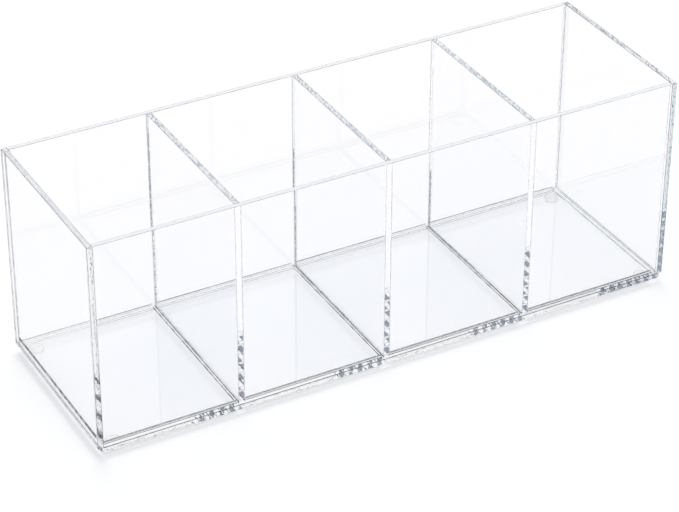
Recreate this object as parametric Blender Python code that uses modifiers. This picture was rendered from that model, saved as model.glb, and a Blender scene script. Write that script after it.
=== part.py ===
"""Open-top acrylic organizer box with four compartments, standing on four clear bumper feet.

The box is cut from one gauge of clear acrylic sheet. A base panel carries a left and a right
end panel. A front and a back panel are butted between the ends, and three dividers are butted
between front and back. Every joint is a thin film of solvent cement, kept here as a clear gap.
Units are metres. X runs along the box, the front faces -Y, and Z is up from the table.
"""

import math

import bmesh
import bpy

# Overall sizes of the box
LENGTH = 0.320
WIDTH = 0.100
RIM_HEIGHT = 0.117

# Sheet stock, its joints and its eased edges
SHEET_THICKNESS = 0.0028
CEMENT_GAP = 0.0003
ARRIS_WIDTH = 0.00025
ARRIS_STEPS = 2

# Clear width of each compartment but the last, as a share of all the clear length
COMPARTMENT_SHARES = (0.236, 0.253, 0.254)

# Base panel, a little shorter than the box and set closer to its right end
BASE_LEFT_SETBACK = 0.0018
BASE_RIGHT_SETBACK = 0.0003
BASE_CORNER_RADIUS = 0.0025
BASE_CORNER_STEPS = 8

# Bumper feet, with a flat end where they meet the table
FOOT_DIAMETER = 0.008
FOOT_FLAT_DIAMETER = 0.0052
FOOT_HEIGHT = 0.002
FOOT_RIM_HEIGHT = 0.0006
FOOT_DOME_STEPS = 6
FOOT_SEGMENTS = 40
FOOT_END_MARGIN = 0.0045
FOOT_SIDE_MARGIN = 0.0028

# How close two turned points lie before they become one
MERGE_DISTANCE = 0.00001

# What light meets in the two plastics
ACRYLIC_IOR = 1.49
ACRYLIC_ROUGHNESS = 0.02
BUMPER_IOR = 1.48
BUMPER_ROUGHNESS = 0.12

COLLECTION_NAME = "acrylic_organizer_box"


def clear_scene():
    """Remove whatever the scene holds."""
    for thing in list(bpy.data.objects):
        bpy.data.objects.remove(thing, do_unlink=True)


def clear_plastic(name, tint, ior, roughness):
    """A clear plastic, with the faint tint that light takes in it."""
    material = bpy.data.materials.new(name)
    material.use_nodes = True
    shader = material.node_tree.nodes["Principled BSDF"]
    shader.inputs["Base Color"].default_value = (*tint, 1)
    shader.inputs["Metallic"].default_value = 0
    shader.inputs["Roughness"].default_value = roughness
    shader.inputs["IOR"].default_value = ior
    shader.inputs["Transmission Weight"].default_value = 1
    return material


def clear_acrylic(name, tint):
    """Polished acrylic sheet."""
    return clear_plastic(name, tint, ACRYLIC_IOR, ACRYLIC_ROUGHNESS)


def clear_bumper(name, tint):
    """Soft clear bumper plastic."""
    return clear_plastic(name, tint, BUMPER_IOR, BUMPER_ROUGHNESS)


def place_piece(piece, material):
    """Put a piece in the box's collection, in its own material."""
    box_collection.objects.link(piece)
    piece.data.materials.append(material)


def ease_edges(panel):
    """Take the sharp arris off every edge of a sheet."""
    bevel = panel.modifiers.new("eased arris", "BEVEL")
    bevel.width = ARRIS_WIDTH
    bevel.segments = ARRIS_STEPS
    bevel.limit_method = "ANGLE"
    bevel.angle_limit = math.radians(40)


def round_upright_edges(shape, radius):
    """Round the four upright edges of a block."""
    upright = [edge for edge in shape.edges if edge.verts[0].co.xy == edge.verts[1].co.xy]
    bmesh.ops.bevel(
        shape,
        geom=upright,
        offset=radius,
        segments=BASE_CORNER_STEPS,
        profile=0.5,
        affect="EDGES",
    )


def sheet_panel(name, low, high, corner_radius=0):
    """A flat panel of sheet that fills the space between two corners."""
    size = [b - a for a, b in zip(low, high)]
    shape = bmesh.new()
    bmesh.ops.create_cube(shape, size=1)
    bmesh.ops.scale(shape, vec=size, verts=shape.verts)
    if corner_radius:
        round_upright_edges(shape, corner_radius)
    mesh = bpy.data.meshes.new(name)
    shape.to_mesh(mesh)
    shape.free()
    panel = bpy.data.objects.new(name, mesh)
    panel.location = [(a + b) / 2 for a, b in zip(low, high)]
    ease_edges(panel)
    return panel


def foot_outline():
    """Half outline of a foot, from the top of its axis, down its side, to the bottom."""
    radius = FOOT_DIAMETER / 2
    flat_radius = FOOT_FLAT_DIAMETER / 2
    top = FOOT_HEIGHT - CEMENT_GAP
    dome_height = top - FOOT_RIM_HEIGHT
    points = [(0, top), (radius, top)]
    for step in range(FOOT_DOME_STEPS + 1):
        turn = math.pi / 2 * step / FOOT_DOME_STEPS
        across = flat_radius + (radius - flat_radius) * math.cos(turn)
        points.append((across, dome_height * (1 - math.sin(turn))))
    points.append((0, 0))
    return points


def bumper_foot(name, x, y):
    """One stick-on bumper foot, turned about its upright axis."""
    points = foot_outline()
    vertices = [(across, 0, up) for across, up in points]
    edges = [(i, i + 1) for i in range(len(points) - 1)]
    mesh = bpy.data.meshes.new(name)
    mesh.from_pydata(vertices, edges, [])
    foot = bpy.data.objects.new(name, mesh)
    foot.location = (x, y, 0)
    turning = foot.modifiers.new("turned", "SCREW")
    turning.axis = "Z"
    turning.steps = FOOT_SEGMENTS
    turning.render_steps = FOOT_SEGMENTS
    turning.use_merge_vertices = True
    turning.merge_threshold = MERGE_DISTANCE
    turning.use_smooth_shade = True
    return foot


clear_scene()
box_collection = bpy.data.collections.new(COLLECTION_NAME)
bpy.context.scene.collection.children.link(box_collection)

# Outer faces of the box, and the levels of its layers
left = -LENGTH / 2
right = LENGTH / 2
front = -WIDTH / 2
back = WIDTH / 2
base_bottom = FOOT_HEIGHT
base_top = base_bottom + SHEET_THICKNESS
wall_bottom = base_top + CEMENT_GAP

# Base panel, under all the walls
base_left = left + BASE_LEFT_SETBACK
base_right = right - BASE_RIGHT_SETBACK
base = sheet_panel(
    "base_panel",
    (base_left, front, base_bottom),
    (base_right, back, base_top),
    BASE_CORNER_RADIUS,
)
place_piece(base, clear_acrylic("clear acrylic base", (0.94, 0.96, 0.98)))

# End panels, as wide as the box
left_inner = left + SHEET_THICKNESS
right_inner = right - SHEET_THICKNESS
left_end = sheet_panel(
    "left_end_panel",
    (left, front, wall_bottom),
    (left_inner, back, RIM_HEIGHT),
)
place_piece(left_end, clear_acrylic("clear acrylic left end", (0.96, 0.97, 0.98)))
right_end = sheet_panel(
    "right_end_panel",
    (right_inner, front, wall_bottom),
    (right, back, RIM_HEIGHT),
)
place_piece(right_end, clear_acrylic("clear acrylic right end", (0.93, 0.96, 0.97)))

# Front and back panels, butted between the ends
long_left = left_inner + CEMENT_GAP
long_right = right_inner - CEMENT_GAP
front_inner = front + SHEET_THICKNESS
back_inner = back - SHEET_THICKNESS
front_panel = sheet_panel(
    "front_panel",
    (long_left, front, wall_bottom),
    (long_right, front_inner, RIM_HEIGHT),
)
place_piece(front_panel, clear_acrylic("clear acrylic front", (0.97, 0.98, 0.98)))
back_panel = sheet_panel(
    "back_panel",
    (long_left, back_inner, wall_bottom),
    (long_right, back, RIM_HEIGHT),
)
place_piece(back_panel, clear_acrylic("clear acrylic back", (0.95, 0.97, 0.98)))

# Dividers, butted between front and back
divider_front = front_inner + CEMENT_GAP
divider_back = back_inner - CEMENT_GAP
clear_length = right_inner - left_inner - len(COMPARTMENT_SHARES) * SHEET_THICKNESS
compartment_left = left_inner
for side, share in zip(("left", "middle", "right"), COMPARTMENT_SHARES):
    divider_left = compartment_left + share * clear_length
    divider_right = divider_left + SHEET_THICKNESS
    divider = sheet_panel(
        f"{side}_divider",
        (divider_left, divider_front, wall_bottom),
        (divider_right, divider_back, RIM_HEIGHT),
    )
    place_piece(divider, clear_acrylic(f"clear acrylic {side} divider", (0.94, 0.95, 0.98)))
    compartment_left = divider_right

# Bumper feet, stuck under the corners of the base panel
foot_radius = FOOT_DIAMETER / 2
foot_left = base_left + FOOT_END_MARGIN + foot_radius
foot_right = base_right - FOOT_END_MARGIN - foot_radius
foot_front = front + FOOT_SIDE_MARGIN + foot_radius
foot_back = back - FOOT_SIDE_MARGIN - foot_radius
for side, y in (("front", foot_front), ("back", foot_back)):
    for end, x in (("left", foot_left), ("right", foot_right)):
        foot = bumper_foot(f"{side}_{end}_foot", x, y)
        place_piece(foot, clear_bumper(f"clear bumper {side} {end}", (0.97, 0.95, 0.90)))
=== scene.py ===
import math

import bmesh
import bpy
from mathutils import Matrix, Vector


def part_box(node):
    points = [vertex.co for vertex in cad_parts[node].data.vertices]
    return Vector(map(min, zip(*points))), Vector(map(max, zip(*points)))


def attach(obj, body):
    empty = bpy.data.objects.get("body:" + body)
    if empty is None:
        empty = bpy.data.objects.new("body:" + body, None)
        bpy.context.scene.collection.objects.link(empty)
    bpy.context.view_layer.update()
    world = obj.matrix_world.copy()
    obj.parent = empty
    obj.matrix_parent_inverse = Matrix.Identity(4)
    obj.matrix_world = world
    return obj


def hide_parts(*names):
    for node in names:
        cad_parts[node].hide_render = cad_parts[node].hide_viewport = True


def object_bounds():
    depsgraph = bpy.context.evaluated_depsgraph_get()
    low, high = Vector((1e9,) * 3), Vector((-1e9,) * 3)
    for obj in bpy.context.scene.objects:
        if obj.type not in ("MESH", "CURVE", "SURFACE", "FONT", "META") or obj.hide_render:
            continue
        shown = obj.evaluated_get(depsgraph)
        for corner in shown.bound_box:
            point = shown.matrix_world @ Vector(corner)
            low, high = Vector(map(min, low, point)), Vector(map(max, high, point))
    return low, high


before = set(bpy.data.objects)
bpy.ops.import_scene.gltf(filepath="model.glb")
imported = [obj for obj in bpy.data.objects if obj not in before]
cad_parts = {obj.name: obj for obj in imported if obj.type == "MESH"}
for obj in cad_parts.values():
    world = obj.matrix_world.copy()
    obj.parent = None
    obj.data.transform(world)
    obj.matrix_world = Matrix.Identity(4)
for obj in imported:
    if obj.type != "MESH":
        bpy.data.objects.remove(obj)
cad_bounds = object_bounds()

# Base panel
# The bottom sheet of the box, which every wall stands on. It is cut from clear cast acrylic with
# rounded corners, its edges are flame-polished, and the walls are welded to it with solvent cement.

ACRYLIC_IOR = 1.49
BASE_CORNER_RADIUS = 0.0025
BASE_CORNER_STEPS = 8
# Two welded faces lie this far apart, so that light meets one after the other
SEAM = 0.00001
# The scraper takes this much off an edge that turns by more than the angle
ARRIS_WIDTH = 0.0001
ARRIS_STEPS = 2
SHARP_ANGLE = math.radians(40)
# A cut edge is dull this far in from each face of the sheet
EDGE_LINE = 0.00022
# Cement runs out to this height along the foot of a wall's outer face
FOOT_LINE = 0.0003
# A face looks along an axis when this much of its normal does
LOOKS_ALONG = 0.9
UP_AXIS = 2
# The finishes of a sheet, in the order of its material slots
POLISHED, FLAMED, SAWN, SCRAPED, CEMENTED, FEATHERED = range(6)
# What every clear face of acrylic has in common
CLEAR_ACRYLIC = {"Roughness": 0, "IOR": ACRYLIC_IOR, "Transmission Weight": 1}


def linear(hex_colour):
    """An sRGB hex colour as linear red, green, blue and alpha."""
    shares = [int(hex_colour[place:place + 2], 16) / 255 for place in (1, 3, 5)]
    return [
        share / 12.92 if share <= 0.04045 else ((share + 0.055) / 1.055) ** 2.4
        for share in shares
    ] + [1]


def add_node(tree, kind, settings=None, links=None):
    """Add a node, give it its settings, and link its inputs to other nodes' outputs."""
    node = tree.nodes.new(kind)
    for name, value in (settings or {}).items():
        if isinstance(name, str) and name not in node.inputs:
            setattr(node, name, value)
        else:
            node.inputs[name].default_value = value
    for name, source in (links or {}).items():
        tree.links.new(source, node.inputs[name])
    return node


def new_material(name):
    """An empty node material with its output node."""
    material = bpy.data.materials.new(name)
    material.use_nodes = True
    material.node_tree.nodes.clear()
    return material, add_node(material.node_tree, "ShaderNodeOutputMaterial")


def uneven_surface(tree, place, length, height, strength, detail, roughness):
    """A surface that rises and falls by a small height over a given length."""
    rises = add_node(
        tree,
        "ShaderNodeTexNoise",
        {"Scale": 1 / length, "Detail": detail, "Roughness": roughness},
        {"Vector": place.outputs["Object"]},
    )
    return add_node(
        tree,
        "ShaderNodeBump",
        {"Strength": strength, "Distance": height},
        {"Height": rises.outputs["Fac"]},
    )


def light_passes(tree, shader, shade):
    """Let lamp light and bounced light go straight through, with the plastic's faint shade."""
    path = add_node(tree, "ShaderNodeLightPath")
    passing = add_node(
        tree,
        "ShaderNodeMath",
        {"operation": "MAXIMUM"},
        {0: path.outputs["Is Shadow Ray"], 1: path.outputs["Is Diffuse Ray"]},
    )
    clear = add_node(tree, "ShaderNodeBsdfTransparent", {"Color": linear(shade)})
    return add_node(
        tree,
        "ShaderNodeMixShader",
        {},
        {0: passing.outputs[0], 1: shader.outputs[0], 2: clear.outputs[0]},
    )


def polished_acrylic(name, tint, shade):
    """Cast acrylic, polished face: clear as water, with the faint waves of a cast sheet."""
    material, output = new_material(name)
    tree = material.node_tree
    place = add_node(tree, "ShaderNodeTexCoord")
    # Waves 25 mm long and a few hundredths of a millimetre high
    waves = uneven_surface(
        tree, place, length=0.025, height=0.00004, strength=0.3, detail=1, roughness=0.4
    )
    shader = add_node(
        tree,
        "ShaderNodeBsdfPrincipled",
        {"Base Color": linear(tint), **CLEAR_ACRYLIC},
        {"Normal": waves.outputs["Normal"]},
    )
    surface = light_passes(tree, shader, shade)
    tree.links.new(surface.outputs[0], output.inputs["Surface"])
    return material


def flamed_acrylic(name, tint, shade, haze):
    """Flame-polished acrylic edge: rippled where the flame ran, and hazy in patches."""
    material, output = new_material(name)
    tree = material.node_tree
    place = add_node(tree, "ShaderNodeTexCoord")
    # Ripples 3 mm long, which break what is seen through the edge into dashes
    ripples = uneven_surface(
        tree, place, length=0.003125, height=0.0002, strength=0.35, detail=2, roughness=0.5
    )
    shader = add_node(
        tree,
        "ShaderNodeBsdfPrincipled",
        {"Base Color": linear(tint), **CLEAR_ACRYLIC},
        {"Normal": ripples.outputs["Normal"]},
    )
    # Patches 4 mm long, the haziest with three times the haze of the clearest
    patch_length = 0.004
    patches = add_node(
        tree,
        "ShaderNodeTexNoise",
        {"Scale": 1 / patch_length, "Detail": 3, "Roughness": 0.6},
        {"Vector": place.outputs["Object"]},
    )
    hazing = add_node(
        tree,
        "ShaderNodeMapRange",
        {"From Min": 0.35, "From Max": 0.65, "To Min": haze / 3, "To Max": haze},
        {"Value": patches.outputs["Fac"]},
    )
    frost = add_node(tree, "ShaderNodeBsdfDiffuse", {"Color": linear("#f4f8fc")})
    hazed = add_node(
        tree,
        "ShaderNodeMixShader",
        {},
        {0: hazing.outputs[0], 1: shader.outputs[0], 2: frost.outputs[0]},
    )
    surface = light_passes(tree, hazed, shade)
    tree.links.new(surface.outputs[0], output.inputs["Surface"])
    return material


def frosted_line_with_painted_shade(name, grey, least, most, softness=0.15, length=0.002):
    """Scraped acrylic arris: a fine frosted line, which looks grey against a white background.
    Its grey is partly the frosting and partly painted shade.

    The frosting varies between its least and its most share, in marks of about the given length.
    The softness says how gently a mark starts and ends.
    """
    material, output = new_material(name)
    tree = material.node_tree
    place = add_node(tree, "ShaderNodeTexCoord")
    marks = add_node(
        tree,
        "ShaderNodeTexNoise",
        {"Scale": 1 / length, "Detail": 3, "Roughness": 0.6},
        {"Vector": place.outputs["Object"]},
    )
    frosting = add_node(
        tree,
        "ShaderNodeMapRange",
        {"From Min": 0.5 - softness, "From Max": 0.5 + softness, "To Min": least, "To Max": most},
        {"Value": marks.outputs["Fac"]},
    )
    # The grey colour of the frosting is partly painted shade, which gives the line its darkness
    frost = add_node(tree, "ShaderNodeBsdfDiffuse", {"Color": linear(grey)})
    shader = add_node(
        tree,
        "ShaderNodeBsdfPrincipled",
        {**CLEAR_ACRYLIC, "Base Color": linear("#f4f6f8"), "Roughness": 0.1},
    )
    surface = add_node(
        tree,
        "ShaderNodeMixShader",
        {},
        {0: frosting.outputs[0], 1: shader.outputs[0], 2: frost.outputs[0]},
    )
    tree.links.new(surface.outputs[0], output.inputs["Surface"])
    return material


def cemented_acrylic(name, tint):
    """Solvent-welded acrylic: the two sheets are one there, so that the joint can't be seen."""
    material, output = new_material(name)
    tree = material.node_tree
    place = add_node(tree, "ShaderNodeTexCoord")
    # Dry patches 2.4 mm long. A good weld has next to none, so only a rare peak makes one.
    patch_length = 0.0024
    wetting = add_node(
        tree,
        "ShaderNodeTexNoise",
        {"Scale": 1 / patch_length, "Detail": 2, "Roughness": 0.6},
        {"Vector": place.outputs["Object"]},
    )
    dry = add_node(
        tree,
        "ShaderNodeMapRange",
        {"From Min": 0.96, "From Max": 0.97, "To Min": 0, "To Max": 1},
        {"Value": wetting.outputs["Fac"]},
    )
    clear = add_node(tree, "ShaderNodeBsdfTransparent", {"Color": linear("#ffffff")})
    shader = add_node(
        tree, "ShaderNodeBsdfPrincipled", {"Base Color": linear(tint), **CLEAR_ACRYLIC}
    )
    surface = add_node(
        tree,
        "ShaderNodeMixShader",
        {},
        {0: dry.outputs[0], 1: clear.outputs[0], 2: shader.outputs[0]},
    )
    tree.links.new(surface.outputs[0], output.inputs["Surface"])
    return material


sheet_names = [
    "base_panel",
    "left_end_panel",
    "right_end_panel",
    "front_panel",
    "back_panel",
    "left_divider",
    "middle_divider",
    "right_divider",
]
sheets = {name: [Vector(corner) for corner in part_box(name)] for name in sheet_names}
cad_low = Vector(cad_bounds[0])
cad_high = Vector(cad_bounds[1])

# Cement closes the gaps that the solids keep between the sheets
base_top = sheets["base_panel"][1].z
rim = sheets["front_panel"][1].z
for name in sheet_names[1:]:
    sheets[name][0].z = base_top + SEAM
for name in ("front_panel", "back_panel"):
    sheets[name][0].x = sheets["left_end_panel"][1].x + SEAM
    sheets[name][1].x = sheets["right_end_panel"][0].x - SEAM
for name in ("left_divider", "middle_divider", "right_divider"):
    sheets[name][0].y = sheets["front_panel"][1].y + SEAM
    sheets[name][1].y = sheets["back_panel"][0].y - SEAM

# The compartments, each with its lowest and highest x
inner_ends = [sheets["left_end_panel"][1].x]
for name in ("left_divider", "middle_divider", "right_divider"):
    inner_ends += [sheets[name][0].x, sheets[name][1].x]
inner_ends.append(sheets["right_end_panel"][0].x)
compartments = list(zip(inner_ends[0::2], inner_ends[1::2]))
inner_front = sheets["front_panel"][1].y
inner_back = sheets["back_panel"][0].y

# Cement is drawn into the inner corners, and a sheet is welded to each bead that lies on it.
# These are how far a bead of each group reaches over the base, and how far up the wall. The
# upright ones and the one in the corner reach over two walls.
bead_sizes = {
    "front_cement_beads": (0.0017, 0.0026),
    "back_cement_beads": (0.0019, 0.0026),
    "left_end_cement_bead": (0.0002, 0.0060),
    "right_end_cement_bead": (0.0028, 0.0010),
    "divider_cement_beads": (0.0015, 0.0007),
    "thin_cement_beads": (0.0003, 0.0003),
    "upright_cement_beads": (0.0003, 0.0003),
    "corner_cement_bead": (0.0008, 0.0008),
}

# Each bead is kept as its start, its end and the two ways in which it reaches. It runs towards
# the end that lays its reach along the base and its height along the wall.
bead_runs = {name: [] for name in bead_sizes}
up = Vector((0, 0, 1))
for place, (left, right) in enumerate(compartments):
    is_first = place == 0
    is_last = place == len(compartments) - 1
    at_left = "left_end_cement_bead" if is_first else "thin_cement_beads"
    at_right = "right_end_cement_bead" if is_last else "divider_cement_beads"
    for x, along, group in ((left, 1, at_left), (right, -1, at_right)):
        outward = Vector((along, 0, 0))
        ends = [Vector((x, inner_back, base_top)), Vector((x, inner_front, base_top))]
        bead_runs[group].append((*ends[::along], outward, up))
        foot_height = bead_sizes[group][1]
        for y, inward in ((inner_front, 1), (inner_back, -1)):
            low = Vector((x, y, base_top + foot_height))
            high = Vector((x, y, rim - ARRIS_WIDTH))
            in_corner = is_first and along == 1 and inward == -1
            upright = "corner_cement_bead" if in_corner else "upright_cement_beads"
            bead_runs[upright].append((low, high, outward, Vector((0, inward, 0))))
    inner_left = left + bead_sizes[at_left][0]
    inner_right = right - bead_sizes[at_right][0]
    for y, inward, group in (
        (inner_front, 1, "front_cement_beads"),
        (inner_back, -1, "back_cement_beads"),
    ):
        ends = [Vector((inner_left, y, base_top)), Vector((inner_right, y, base_top))]
        bead_runs[group].append((*ends[::inward], Vector((0, inward, 0)), up))


def ordered(one, other):
    """The lowest and the highest corner of the box between two points."""
    low = Vector([min(pair) for pair in zip(one, other)])
    high = Vector([max(pair) for pair in zip(one, other)])
    return low, high


def grown(box, margin):
    """A box with a margin all round."""
    low, high = box
    room = Vector((margin, margin, margin))
    return low - room, high + room


def meeting(box, other):
    """The box that two boxes share, or nothing."""
    low = Vector([max(pair) for pair in zip(box[0], other[0])])
    high = Vector([min(pair) for pair in zip(box[1], other[1])])
    return (low, high) if all(a < b for a, b in zip(low, high)) else None


def welded_areas(name):
    """The boxes in which a sheet is welded to its neighbours or to a bead of cement."""
    areas = []
    for other in sheet_names:
        if other != name:
            areas.append(meeting(grown(sheets[name], SEAM), grown(sheets[other], SEAM)))
    for group, (reach, height) in bead_sizes.items():
        for start, end, one_way, other_way in bead_runs[group]:
            strip = ordered(start, end + one_way * reach + other_way * height)
            areas.append(meeting(grown(sheets[name], SEAM), grown(strip, SEAM)))
    return [area for area in areas if area]


def round_upright_edges(shape, radius):
    """Round the four upright edges of a block."""
    upright = [edge for edge in shape.edges if edge.verts[0].co.xy == edge.verts[1].co.xy]
    bmesh.ops.bevel(
        shape,
        geom=upright,
        offset=radius,
        segments=BASE_CORNER_STEPS,
        profile=0.5,
        affect="EDGES",
    )


def cut_across(shape, axis, level):
    """Cut a sheet's faces along one level of one axis."""
    # A corner that is within a tenth of a seam counts as on the cut
    near = SEAM / 10
    square = Vector((0, 0, 0))
    square[axis] = 1
    bmesh.ops.bisect_plane(
        shape,
        geom=shape.verts[:] + shape.edges[:] + shape.faces[:],
        dist=near,
        plane_co=square * level,
        plane_no=square,
    )


def thin_way(low, high):
    """The axis along which a sheet is thin."""
    return min(range(3), key=lambda axis: high[axis] - low[axis])


def score(shape, areas, low, high):
    """Cut a sheet's faces along the limits of its welded areas and of its edge lines."""
    # A cut that is closer to the sheet's own edge would leave a sliver
    margin = 2 * SEAM
    for area in areas:
        for axis in range(3):
            for level in (area[0][axis], area[1][axis]):
                if low[axis] + margin < level < high[axis] - margin:
                    cut_across(shape, axis, level)
    thin = thin_way(low, high)
    cut_across(shape, thin, low[thin] + EDGE_LINE)
    cut_across(shape, thin, high[thin] - EDGE_LINE)
    if thin != UP_AXIS:
        cut_across(shape, UP_AXIS, low.z + FOOT_LINE)


def finish_of(face, low, high, areas):
    """Which finish a face of a sheet has."""
    middle = face.calc_center_median()
    for area_low, area_high in areas:
        if all(a <= m <= b for a, m, b in zip(area_low, middle, area_high)):
            return CEMENTED
    thin = thin_way(low, high)
    lies_flat = thin == UP_AXIS
    if abs(face.normal[thin]) > LOOKS_ALONG:
        outer = not lies_flat and abs(middle[thin]) > cad_high[thin] - SEAM
        return FEATHERED if outer and middle.z < low.z + FOOT_LINE else POLISHED
    if lies_flat:
        # Cement has run along the top of the base's edge, except at the back
        seen = middle.z > high.z - EDGE_LINE and middle.y < high.y - SEAM
        return FEATHERED if seen else FLAMED
    if min(middle[thin] - low[thin], high[thin] - middle[thin]) < EDGE_LINE:
        return SCRAPED
    return SAWN if face.normal.z > LOOKS_ALONG else FLAMED


def scraped_edges(shape):
    """The sharp edges that are scraped: all on the outside, and inside those free of cement."""
    core = grown((cad_low, cad_high), -ARRIS_WIDTH)
    edges = []
    for edge in shape.edges:
        if edge.calc_face_angle(0) < SHARP_ANGLE:
            continue
        middle = (edge.verts[0].co + edge.verts[1].co) / 2
        hidden = any(face.material_index == CEMENTED for face in edge.link_faces)
        inside = all(a < m < b for a, m, b in zip(core[0], middle, core[1]))
        if not hidden or not inside:
            edges.append(edge)
    return edges


def cut_sheet(name, materials, corner_radius=0):
    """One sheet of the box as a closed mesh, in place of its plain solid."""
    low, high = sheets[name]
    areas = welded_areas(name)
    shape = bmesh.new()
    bmesh.ops.create_cube(shape, size=1)
    bmesh.ops.scale(shape, vec=high - low, verts=shape.verts)
    bmesh.ops.translate(shape, vec=(low + high) / 2, verts=shape.verts)
    if corner_radius:
        round_upright_edges(shape, corner_radius)
    score(shape, areas, low, high)
    for face in shape.faces:
        face.material_index = finish_of(face, low, high, areas)
    bmesh.ops.bevel(
        shape,
        geom=scraped_edges(shape),
        offset=ARRIS_WIDTH,
        segments=ARRIS_STEPS,
        profile=0.5,
        affect="EDGES",
        material=SCRAPED,
    )
    mesh = bpy.data.meshes.new(name)
    shape.to_mesh(mesh)
    shape.free()
    for material in materials:
        mesh.materials.append(material)
    sheet = bpy.data.objects.new("clear_" + name, mesh)
    bpy.context.scene.collection.objects.link(sheet)
    return sheet


base_face = polished_acrylic("polished acrylic base", "#feffff", "#fefeff")
base_edge = flamed_acrylic("flame-polished acrylic base edge", "#fefefe", "#c4c9ce", 0.1)
# Lightly scraped, so that the arris is a thin pale line
soft_arris = frosted_line_with_painted_shade("lightly scraped acrylic arris", "#6d767f", 0.2, 0.6)
# Cement that ran out from under a wall and set dull, in a dark line with few breaks. Its darkness
# is partly painted shade.
feathered_cement = frosted_line_with_painted_shade("feathered cement along a foot", "#1d252d", 0.8, 1)
weld_material = cemented_acrylic("solvent-welded acrylic", "#fcfdfe")
base = cut_sheet(
    "base_panel",
    (base_face, base_edge, base_edge, soft_arris, weld_material, feathered_cement),
    BASE_CORNER_RADIUS,
)
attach(base, "root")
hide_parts("base_panel")

# End panels
# The two short walls. Each is as wide as the box, stands on the base, and is welded to it
# and to the ends of the front and back panels. Their tops are the ends of the rim.

# A saw mark is this much longer than it is wide
MARK_STRETCH = 4
# The marks are deeper or fainter over stretches of this length, by this share
DEPTH_LENGTH = 0.01
DEPTH_SHARE = 0.25
# Marks below the first level are dark, and those above the second are pale
DARK_LEVEL = 0.57
PALE_LEVEL = 0.65
# Frosting lets this share of its light through into the sheet and scatters the rest back
FROST_THROUGH = 0.3


def sawn_acrylic_with_painted_shade(name, turn, width, dark, pale, clear_share):
    """Saw-cut acrylic rim: partly clear, partly frosted by saw marks that run one way. The grey of
    the dark marks is partly painted shade.

    The marks have a width, and the saw went at an angle to the Y axis, in degrees.
    """
    material, output = new_material(name)
    tree = material.node_tree
    place = add_node(tree, "ShaderNodeTexCoord")
    # Ripples 2.5 mm long, coarser than a cutter leaves, so that they show
    ripples = uneven_surface(
        tree, place, length=0.0025, height=0.0002, strength=0.12, detail=2, roughness=0.5
    )
    shader = add_node(
        tree,
        "ShaderNodeBsdfPrincipled",
        {"Base Color": linear("#fafcfe"), **CLEAR_ACRYLIC},
        {"Normal": ripples.outputs["Normal"]},
    )
    way = add_node(
        tree,
        "ShaderNodeMapping",
        {
            "vector_type": "TEXTURE",
            "Rotation": (0, 0, math.radians(turn)),
            "Scale": (1, MARK_STRETCH, 1),
        },
        {"Vector": place.outputs["Object"]},
    )
    marks = add_node(
        tree,
        "ShaderNodeTexNoise",
        {"Scale": 1 / width, "Detail": 0},
        {"Vector": way.outputs["Vector"]},
    )
    depths = add_node(
        tree,
        "ShaderNodeTexNoise",
        {"Scale": 1 / DEPTH_LENGTH, "Detail": 2, "Roughness": 0.6},
        {"Vector": place.outputs["Object"]},
    )
    mixed = add_node(
        tree,
        "ShaderNodeMath",
        {"operation": "MULTIPLY_ADD", 1: DEPTH_SHARE},
        {0: depths.outputs["Fac"], 2: marks.outputs["Fac"]},
    )
    # Dark marks: partly saw marks, partly painted shade
    shades = add_node(tree, "ShaderNodeValToRGB", {}, {"Fac": mixed.outputs[0]})
    for element, level, colour in zip(
        shades.color_ramp.elements, (DARK_LEVEL, PALE_LEVEL), (dark, pale)
    ):
        element.position = level
        element.color = linear(colour)
    back = add_node(tree, "ShaderNodeBsdfDiffuse", {}, {"Color": shades.outputs["Color"]})
    through = add_node(tree, "ShaderNodeBsdfTranslucent", {}, {"Color": shades.outputs["Color"]})
    frost = add_node(
        tree,
        "ShaderNodeMixShader",
        {0: FROST_THROUGH},
        {1: back.outputs[0], 2: through.outputs[0]},
    )
    surface = add_node(
        tree,
        "ShaderNodeMixShader",
        {0: 1 - clear_share},
        {1: shader.outputs[0], 2: frost.outputs[0]},
    )
    tree.links.new(surface.outputs[0], output.inputs["Surface"])
    return material


end_face = polished_acrylic("polished acrylic end", "#fefeff", "#fdfeff")
flamed_edge = flamed_acrylic("flame-polished acrylic edge", "#fdfdfe", "#c4c9ce", 0.1)
# Bluer and hazier than the other edges. The bluer, darker tint is painted shade on the right end.
shaded_right_edge = flamed_acrylic("flame-polished acrylic right edge with painted shade", "#e6f1f7", "#c4c9ce", 0.2)
# The left rim is nearly white, and the right one is mottled with grey marks on the slant, darker
# there as painted shade on the right end
left_rim = sawn_acrylic_with_painted_shade(
    "saw-cut acrylic left rim",
    turn=-4,
    width=0.0006,
    dark="#dfe0e6",
    pale="#ffffff",
    clear_share=0.15,
)
shaded_right_rim = sawn_acrylic_with_painted_shade(
    "saw-cut acrylic right rim with painted shade",
    turn=-25,
    width=0.0007,
    dark="#abb2bb",
    pale="#fdfdfe",
    clear_share=0.2,
)
# Scraped harder than the base, so that the arrises are plain grey lines. They are darker at the
# right end, which is painted shade.
plain_arris = frosted_line_with_painted_shade("scraped acrylic arris", "#5d666f", 0.3, 0.7)
shaded_right_arris = frosted_line_with_painted_shade("deeply scraped acrylic arris with painted shade", "#4d565f", 0.45, 0.9)
# No cement ran out under the right end, so its foot is polished like the rest of the face
for name, edge, end_rim, arris, foot_line in (
    ("left_end_panel", flamed_edge, left_rim, plain_arris, feathered_cement),
    ("right_end_panel", shaded_right_edge, shaded_right_rim, shaded_right_arris, end_face),
):
    end = cut_sheet(name, (end_face, edge, end_rim, arris, weld_material, foot_line))
    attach(end, "root")
    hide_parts(name)

# Front and back panels
# The two long walls, butted between the end panels. They stand on the base and carry
# the ends of the dividers. Each is one sheet with polished faces and a sawn rim.

long_face = polished_acrylic("polished acrylic long wall", "#fefeff", "#fdfeff")
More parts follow.
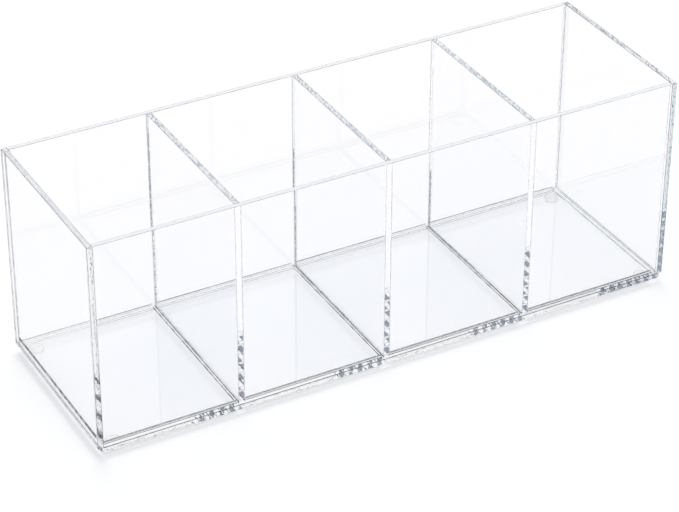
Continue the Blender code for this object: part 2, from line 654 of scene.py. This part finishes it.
# Fine marks across the rim, so pale that it looks evenly frosted
long_rim = sawn_acrylic_with_painted_shade(
    "saw-cut acrylic long rim",
    turn=-86,
    width=0.0006,
    dark="#f8fafc",
    pale="#ffffff",
    clear_share=0.03,
)
# Cement that set nearly clear, in a line that comes and goes. Its grey is partly painted shade.
faint_line = frosted_line_with_painted_shade("faint cement edge", "#a0a8b0", 0.1, 0.45)
for name, arris, foot_line in (
    ("front_panel", soft_arris, feathered_cement),
    ("back_panel", plain_arris, faint_line),
):
    long_wall = cut_sheet(
        name, (long_face, flamed_edge, long_rim, arris, weld_material, foot_line)
    )
    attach(long_wall, "root")
    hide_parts(name)

# Dividers
# Three cross walls that part the box into four. Each is butted between the front and back
# panels and welded to them and to the base, flush with the rim.

divider_face = polished_acrylic("polished acrylic divider", "#fefeff", "#fdfeff")
# Slanting marks in grey and white, which stand out from the long rims. Their grey is partly painted
# shade.
divider_rim = sawn_acrylic_with_painted_shade(
    "saw-cut acrylic divider rim",
    turn=-30,
    width=0.0007,
    dark="#bcc6d0",
    pale="#ffffff",
    clear_share=0.12,
)
for name in ("left_divider", "middle_divider", "right_divider"):
    divider = cut_sheet(name, (divider_face, flamed_edge, divider_rim, plain_arris, weld_material))
    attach(divider, "root")
    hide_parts(name)

# Beads of cement
# Solvent cement with dissolved acrylic, drawn into every inner corner, where it sets clear or a
# little cloudy. Each bead is hollow-faced and welded to both sheets, and most of them run out in
# a thin dull line, whose grey or black is partly painted shade.

BEAD_STEPS = 8
# The corner point's mark averages a half on the two faces beside it, and far less on the others
BESIDE_CORNER = 0.4


def socket_id(tree, name):
    """The identifier of a named input of a node tree."""
    return next(item.identifier for item in tree.interface.items_tree if item.name == name)


def bead_tree(face_material, base_line, wall_line, joint_material):
    """Node tree that lays a hollow-faced bead along each edge of a mesh, square to its facing."""
    tree = bpy.data.node_groups.new("cement bead", "GeometryNodeTree")
    tree.interface.new_socket("Geometry", in_out="INPUT", socket_type="NodeSocketGeometry")
    for name, socket_type, value in (
        ("Bead reach", "NodeSocketFloat", 0.001),
        ("Bead height", "NodeSocketFloat", 0.001),
        ("Face steps", "NodeSocketInt", BEAD_STEPS),
        ("Base line share", "NodeSocketFloat", 0.125),
        ("Wall line share", "NodeSocketFloat", 0.125),
        ("Hollowness", "NodeSocketFloat", 1),
    ):
        socket = tree.interface.new_socket(name, in_out="INPUT", socket_type=socket_type)
        socket.default_value = value
    tree.interface.new_socket("Geometry", in_out="OUTPUT", socket_type="NodeSocketGeometry")
    source = add_node(tree, "NodeGroupInput")
    result = add_node(tree, "NodeGroupOutput")
    # Outline: the corner point, then a quarter circle from one sheet round to the other
    index = add_node(tree, "GeometryNodeInputIndex")
    points = add_node(
        tree, "ShaderNodeMath", {"operation": "ADD", 1: 2}, {0: source.outputs["Face steps"]}
    )
    line = add_node(tree, "GeometryNodeMeshLine", {}, {"Count": points.outputs[0]})
    outline = add_node(tree, "GeometryNodeMeshToCurve", {}, {"Mesh": line.outputs["Mesh"]})
    closed = add_node(
        tree,
        "GeometryNodeSetSplineCyclic",
        {"Cyclic": True},
        {"Geometry": outline.outputs["Curve"]},
    )
    step = add_node(
        tree, "ShaderNodeMath", {"operation": "SUBTRACT", 1: 1}, {0: index.outputs[0]}
    )
    share = add_node(
        tree,
        "ShaderNodeMath",
        {"operation": "DIVIDE"},
        {0: step.outputs[0], 1: source.outputs["Face steps"]},
    )
    turn = add_node(
        tree, "ShaderNodeMath", {"operation": "MULTIPLY", 1: math.pi / 2}, {0: share.outputs[0]}
    )
    sine = add_node(tree, "ShaderNodeMath", {"operation": "SINE"}, {0: turn.outputs[0]})
    cosine = add_node(tree, "ShaderNodeMath", {"operation": "COSINE"}, {0: turn.outputs[0]})
    across = add_node(
        tree, "ShaderNodeMath", {"operation": "SUBTRACT", 0: 1}, {1: sine.outputs[0]}
    )
    rising = add_node(
        tree, "ShaderNodeMath", {"operation": "SUBTRACT", 0: 1}, {1: cosine.outputs[0]}
    )
    # A hollowness above 1 draws the middle of the face closer into the corner
    drawn_in = add_node(
        tree,
        "ShaderNodeMath",
        {"operation": "POWER"},
        {0: across.outputs[0], 1: source.outputs["Hollowness"]},
    )
    drawn_down = add_node(
        tree,
        "ShaderNodeMath",
        {"operation": "POWER"},
        {0: rising.outputs[0], 1: source.outputs["Hollowness"]},
    )
    spot = add_node(
        tree,
        "ShaderNodeCombineXYZ",
        {},
        {"X": drawn_in.outputs[0], "Y": drawn_down.outputs[0]},
    )
    size = add_node(
        tree,
        "ShaderNodeCombineXYZ",
        {},
        {"X": source.outputs["Bead reach"], "Y": source.outputs["Bead height"]},
    )
    sized = add_node(
        tree,
        "ShaderNodeVectorMath",
        {"operation": "MULTIPLY"},
        {0: spot.outputs[0], 1: size.outputs[0]},
    )
    # The facing is halfway between the two sheets, so the outline turns back by half a corner
    turned = add_node(
        tree,
        "ShaderNodeVectorRotate",
        {"rotation_type": "Z_AXIS", "Angle": -math.pi / 4},
        {"Vector": sized.outputs[0]},
    )
    first = add_node(
        tree,
        "FunctionNodeCompare",
        {"data_type": "INT", "operation": "EQUAL"},
        {"A": index.outputs[0]},
    )
    place = add_node(
        tree,
        "GeometryNodeSwitch",
        {"input_type": "VECTOR", "True": (0, 0, 0)},
        {"Switch": first.outputs[0], "False": turned.outputs[0]},
    )
    shaped = add_node(
        tree,
        "GeometryNodeSetPosition",
        {},
        {"Geometry": closed.outputs[0], "Position": place.outputs[0]},
    )
    marked = add_node(tree, "GeometryNodeCaptureAttribute", {"domain": "POINT"})
    marked.capture_items.new("FLOAT", "corner")
    marked.capture_items.new("FLOAT", "share")
    tree.links.new(shaped.outputs[0], marked.inputs["Geometry"])
    tree.links.new(first.outputs[0], marked.inputs["corner"])
    tree.links.new(share.outputs[0], marked.inputs["share"])
    # Path: each edge of the mesh, with the outline turned to its facing
    path = add_node(tree, "GeometryNodeMeshToCurve", {}, {"Mesh": source.outputs["Geometry"]})
    facing = add_node(
        tree,
        "GeometryNodeInputNamedAttribute",
        {"data_type": "FLOAT_VECTOR", "Name": "facing"},
    )
    turned_path = add_node(
        tree,
        "GeometryNodeSetCurveNormal",
        {"mode": "FREE"},
        {"Curve": path.outputs["Curve"], "Normal": facing.outputs["Attribute"]},
    )
    bead = add_node(
        tree,
        "GeometryNodeCurveToMesh",
        {"Fill Caps": True},
        {"Curve": turned_path.outputs["Curve"], "Profile Curve": marked.outputs["Geometry"]},
    )
    # One line of the face runs along the base and another along the wall
    along_base = add_node(
        tree,
        "FunctionNodeCompare",
        {"data_type": "FLOAT", "operation": "LESS_THAN"},
        {"A": marked.outputs["share"], "B": source.outputs["Base line share"]},
    )
    wall_start = add_node(
        tree,
        "ShaderNodeMath",
        {"operation": "SUBTRACT", 0: 1},
        {1: source.outputs["Wall line share"]},
    )
    along_wall = add_node(
        tree,
        "FunctionNodeCompare",
        {"data_type": "FLOAT", "operation": "GREATER_THAN"},
        {"A": marked.outputs["share"], "B": wall_start.outputs[0]},
    )
    beside_corner = add_node(
        tree,
        "FunctionNodeCompare",
        {"data_type": "FLOAT", "operation": "GREATER_THAN", "B": BESIDE_CORNER},
        {"A": marked.outputs["corner"]},
    )
    finished = add_node(
        tree,
        "GeometryNodeSetMaterial",
        {"Material": face_material},
        {"Geometry": bead.outputs["Mesh"]},
    )
    for material, part in (
        (base_line, along_base),
        (wall_line, along_wall),
        (joint_material, beside_corner),
    ):
        finished = add_node(
            tree,
            "GeometryNodeSetMaterial",
            {"Material": material},
            {"Geometry": finished.outputs[0], "Selection": part.outputs[0]},
        )
    plain = add_node(
        tree, "GeometryNodeRealizeInstances", {}, {"Geometry": finished.outputs[0]}
    )
    tree.links.new(plain.outputs[0], result.inputs["Geometry"])
    return tree


def made_plain(name, source, tree, inputs):
    """The plain mesh that a node tree makes of a source mesh."""
    holder = bpy.data.objects.new(name + "_path", source)
    bpy.context.scene.collection.objects.link(holder)
    modifier = holder.modifiers.new("shape", "NODES")
    modifier.node_group = tree
    for input_name, value in inputs.items():
        modifier[socket_id(tree, input_name)] = value
    evaluated = holder.evaluated_get(bpy.context.evaluated_depsgraph_get())
    mesh = bpy.data.meshes.new_from_object(evaluated)
    bpy.data.objects.remove(holder)
    piece = bpy.data.objects.new(name, mesh)
    bpy.context.scene.collection.objects.link(piece)
    return piece


def lay_beads(name, tree, hollowness, base_share, wall_share):
    """All beads of one group as one piece."""
    vertices = []
    edges = []
    facings = []
    for start, end, one_way, other_way in bead_runs[name]:
        edges.append((len(vertices), len(vertices) + 1))
        vertices += [start, end]
        facings += [(one_way + other_way).normalized()] * 2
    source = bpy.data.meshes.new(name + "_path")
    source.from_pydata(vertices, edges, [])
    facing = source.attributes.new("facing", "FLOAT_VECTOR", "POINT")
    for place, vector in enumerate(facings):
        facing.data[place].vector = vector
    reach, height = bead_sizes[name]
    inputs = {
        "Bead reach": reach,
        "Bead height": height,
        "Face steps": BEAD_STEPS,
        "Base line share": base_share,
        "Wall line share": wall_share,
        "Hollowness": hollowness,
    }
    return made_plain(name, source, tree, inputs)


# As clear as the sheets
cement_face = polished_acrylic("set solvent cement", "#feffff", "#fdfeff")
# Dull edges of a bead: one grey and unbroken, one black and broken into sharp dashes. Their
# darkness is partly painted shade.
cement_line = frosted_line_with_painted_shade("feathered cement edge", "#444d57", 0.4, 0.8)
broken_line = frosted_line_with_painted_shade(
    "broken cement edge", "#10161c", 0.45, 1, softness=0.04, length=0.0035
)
# Cement that clouded as it set: a breath of grey, and a dark line in the back left corner. Both
# are partly painted shade.
cloudy_cement = frosted_line_with_painted_shade("cloudy solvent cement", "#6b747d", 0.1, 0.4)
dark_cement = frosted_line_with_painted_shade("cloudy corner cement", "#39424c", 0.3, 0.8)
long_beading = bead_tree(cement_face, feathered_cement, cement_line, weld_material)
faint_beading = bead_tree(cement_face, faint_line, faint_line, weld_material)
broken_beading = bead_tree(cement_face, broken_line, broken_line, weld_material)
clear_beading = bead_tree(cement_face, cloudy_cement, cloudy_cement, weld_material)
fine_beading = bead_tree(cloudy_cement, cloudy_cement, cloudy_cement, weld_material)
corner_beading = bead_tree(dark_cement, dark_cement, dark_cement, weld_material)
# Each group with its hollowness and the shares of the face that its base and wall lines take
for name, beading, hollowness, base_share, wall_share in (
    ("front_cement_beads", long_beading, 1, 0.5, 0.125),
    ("back_cement_beads", faint_beading, 2, 0.125, 0),
    ("left_end_cement_bead", broken_beading, 1, 0, 0.25),
    ("right_end_cement_bead", faint_beading, 2, 0, 0),
    ("divider_cement_beads", broken_beading, 1, 0.25, 0.375),
    ("thin_cement_beads", clear_beading, 1, 0.125, 0.125),
    ("upright_cement_beads", fine_beading, 1, 0.125, 0.125),
    ("corner_cement_bead", corner_beading, 1, 0.125, 0.125),
):
    bead = lay_beads(name, beading, hollowness, base_share, wall_share)
    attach(bead, "root")

# Bumper feet
# Four small domed bumpers of clear soft polyurethane, stuck under the corners of the base.
# Their solids have the right shape, so they only get their finish here.

BUMPER_IOR = 1.48

# Moulded polyurethane: softly clear, with the faintest warm tint
foot_material, foot_output = new_material("clear polyurethane bumper")
foot_tree = foot_material.node_tree
foot_place = add_node(foot_tree, "ShaderNodeTexCoord")
# The fine pebbling that the mould leaves, half a millimetre across
foot_pebbles = uneven_surface(
    foot_tree, foot_place, length=0.0005, height=0.00003, strength=0.25, detail=1, roughness=0.5
)
foot_shader = add_node(
    foot_tree,
    "ShaderNodeBsdfPrincipled",
    {
        "Base Color": linear("#fefefc"),
        "Roughness": 0.02,
        "IOR": BUMPER_IOR,
        "Transmission Weight": 1,
    },
    {"Normal": foot_pebbles.outputs["Normal"]},
)
foot_surface = light_passes(foot_tree, foot_shader, "#fcfcfa")
foot_tree.links.new(foot_surface.outputs[0], foot_output.inputs["Surface"])
for name in ("front_left_foot", "front_right_foot", "back_left_foot", "back_right_foot"):
    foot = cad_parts[name]
    foot.data.materials.clear()
    foot.data.materials.append(foot_material)

# Floor
# A wide sweep of matt white paper under the box. It keeps the box's shadow, and it is filled
# up to white for the eye and for whatever the plastic shows of it.

FLOOR_SIZE = 12
FLOOR_FILL = 0.28
FLOOR_FILL_IN_PLASTIC = 0.24

bpy.ops.mesh.primitive_plane_add(size=FLOOR_SIZE)
floor = bpy.context.object
floor.name = "floor"
floor_material, floor_output = new_material("white paper sweep")
floor_tree = floor_material.node_tree
paper = add_node(floor_tree, "ShaderNodeBsdfDiffuse", {"Color": linear("#e7e7e7")})
seen = add_node(floor_tree, "ShaderNodeLightPath")
seen_in_plastic = add_node(
    floor_tree,
    "ShaderNodeMath",
    {"operation": "MAXIMUM"},
    {0: seen.outputs["Is Glossy Ray"], 1: seen.outputs["Is Transmission Ray"]},
)
plastic_fill = add_node(
    floor_tree,
    "ShaderNodeMath",
    {"operation": "MULTIPLY", 1: FLOOR_FILL_IN_PLASTIC},
    {0: seen_in_plastic.outputs[0]},
)
open_fill = add_node(
    floor_tree,
    "ShaderNodeMath",
    {"operation": "MULTIPLY", 1: FLOOR_FILL},
    {0: seen.outputs["Is Camera Ray"]},
)
fill = add_node(
    floor_tree,
    "ShaderNodeMath",
    {"operation": "MAXIMUM"},
    {0: open_fill.outputs[0], 1: plastic_fill.outputs[0]},
)
glow = add_node(
    floor_tree,
    "ShaderNodeEmission",
    {"Color": linear("#ffffff")},
    {"Strength": fill.outputs[0]},
)
sweep = add_node(
    floor_tree, "ShaderNodeAddShader", {}, {0: paper.outputs[0], 1: glow.outputs[0]}
)
floor_tree.links.new(sweep.outputs[0], floor_output.inputs["Surface"])
floor.data.materials.append(floor_material)

# Studio light
# A bright wall behind the box, a bright band low down all round, and a dim room above it on the
# camera's side, which is how clear plastic is lit so that its edges draw themselves in grey.

# The way to the middle of the bright back wall, which the camera faces
BACK_WALL_WAY = (0.482, 0.876, 0)
# The back wall fades in between these cosines of the angle from its middle
BACK_WALL_FADE = (0.72, 0.88)
# The low band fades out between these sines of the angle over the horizon
LOW_BAND_FADE = (0.28, 0.40)
ROOM_COLOUR = "#8593a3"
AMBIENT_LEVEL = 0.5
# The lamp: degrees over the horizon, from straight behind towards the right, and across
SUN_ELEVATION = 62
SUN_AZIMUTH = 25
SUN_SPREAD = 36
SUN_LEVEL = 1.62

world = bpy.data.worlds.new("studio")
bpy.context.scene.world = world
world.use_nodes = True
world_tree = world.node_tree
world_tree.nodes.clear()
world_output = add_node(world_tree, "ShaderNodeOutputWorld")
direction = add_node(world_tree, "ShaderNodeTexCoord")
parts = add_node(
    world_tree, "ShaderNodeSeparateXYZ", {}, {0: direction.outputs["Generated"]}
)
level_way = add_node(
    world_tree, "ShaderNodeCombineXYZ", {}, {"X": parts.outputs["X"], "Y": parts.outputs["Y"]}
)
compass = add_node(
    world_tree, "ShaderNodeVectorMath", {"operation": "NORMALIZE"}, {0: level_way.outputs[0]}
)
behind = add_node(
    world_tree,
    "ShaderNodeVectorMath",
    {"operation": "DOT_PRODUCT", 1: BACK_WALL_WAY},
    {0: compass.outputs[0]},
)
low_band = add_node(
    world_tree,
    "ShaderNodeMapRange",
    {
        "From Min": LOW_BAND_FADE[0],
        "From Max": LOW_BAND_FADE[1],
        "To Min": 1,
        "To Max": 0,
        "interpolation_type": "SMOOTHSTEP",
    },
    {"Value": parts.outputs["Z"]},
)
back_wall = add_node(
    world_tree,
    "ShaderNodeMapRange",
    {
        "From Min": BACK_WALL_FADE[0],
        "From Max": BACK_WALL_FADE[1],
        "To Min": 0,
        "To Max": 1,
        "interpolation_type": "SMOOTHSTEP",
    },
    {"Value": behind.outputs["Value"]},
)
walls = add_node(
    world_tree,
    "ShaderNodeMath",
    {"operation": "MAXIMUM"},
    {0: low_band.outputs[0], 1: back_wall.outputs[0]},
)
world_path = add_node(world_tree, "ShaderNodeLightPath")
dim_room = add_node(world_tree, "ShaderNodeBackground", {"Color": linear(ROOM_COLOUR)})
bright_walls = add_node(world_tree, "ShaderNodeBackground", {"Color": linear("#fcfcfd")})
room = add_node(
    world_tree,
    "ShaderNodeMixShader",
    {},
    {0: walls.outputs[0], 1: dim_room.outputs[0], 2: bright_walls.outputs[0]},
)
# Matt surfaces are lit evenly, and the eye sees plain white behind the box
ambient = add_node(
    world_tree,
    "ShaderNodeBackground",
    {"Color": linear("#fdfdff"), "Strength": AMBIENT_LEVEL},
)
backdrop = add_node(
    world_tree, "ShaderNodeBackground", {"Color": linear("#ffffff"), "Strength": 1}
)
lit = add_node(
    world_tree,
    "ShaderNodeMixShader",
    {},
    {0: world_path.outputs["Is Diffuse Ray"], 1: room.outputs[0], 2: ambient.outputs[0]},
)
shown = add_node(
    world_tree,
    "ShaderNodeMixShader",
    {},
    {0: world_path.outputs["Is Camera Ray"], 1: lit.outputs[0], 2: backdrop.outputs[0]},
)
world_tree.links.new(shown.outputs[0], world_output.inputs["Surface"])

lamp_data = bpy.data.lights.new("softbox", "SUN")
lamp_data.energy = SUN_LEVEL
lamp_data.angle = math.radians(SUN_SPREAD)
lamp = bpy.data.objects.new("softbox", lamp_data)
lamp.rotation_euler = (math.radians(90 - SUN_ELEVATION), 0, math.radians(180 - SUN_AZIMUTH))
lamp.visible_glossy = False
lamp.visible_transmission = False
bpy.context.scene.collection.objects.link(lamp)

# Camera
# It looks down on the box from the front left, at the photograph's angle, with a long lens.

CAMERA_AZIMUTH = -28.838
CAMERA_ELEVATION = 32.850
CAMERA_ROLL = 0.224
CAMERA_DISTANCE = 1.32573
# How far the box's origin stands to the right of the picture's middle, and above it
VIEW_RIGHT = 0.00293
VIEW_UP = -0.02989
LENS = 137.80
CLIP_START = 0.05
CLIP_END = 50
# Light is followed this far, because it crosses several sheets and turns about inside them
LIGHT_BOUNCES = 64

azimuth = math.radians(CAMERA_AZIMUTH)
elevation = math.radians(CAMERA_ELEVATION)
roll = math.radians(CAMERA_ROLL)
camera_data = bpy.data.cameras.new("camera")
camera_data.lens = LENS
camera_data.clip_start = CLIP_START
camera_data.clip_end = CLIP_END
camera = bpy.data.objects.new("camera", camera_data)
bpy.context.scene.collection.objects.link(camera)
away = Vector((
    math.sin(azimuth) * math.cos(elevation),
    -math.cos(azimuth) * math.cos(elevation),
    math.sin(elevation),
))
level = Vector((math.cos(azimuth), math.sin(azimuth), 0))
upward = away.cross(level)
rightward = math.cos(roll) * level + math.sin(roll) * upward
upright = math.cos(roll) * upward - math.sin(roll) * level
spot = away * CAMERA_DISTANCE - rightward * VIEW_RIGHT - upright * VIEW_UP
turn = Matrix((rightward, upright, away)).transposed().to_4x4()
camera.matrix_world = Matrix.Translation(spot) @ turn

scene = bpy.context.scene
scene.camera = camera
scene.view_settings.view_transform = "Standard"
scene.cycles.max_bounces = LIGHT_BOUNCES
scene.cycles.transmission_bounces = LIGHT_BOUNCES
scene.cycles.glossy_bounces = LIGHT_BOUNCES
scene.cycles.transparent_max_bounces = LIGHT_BOUNCES
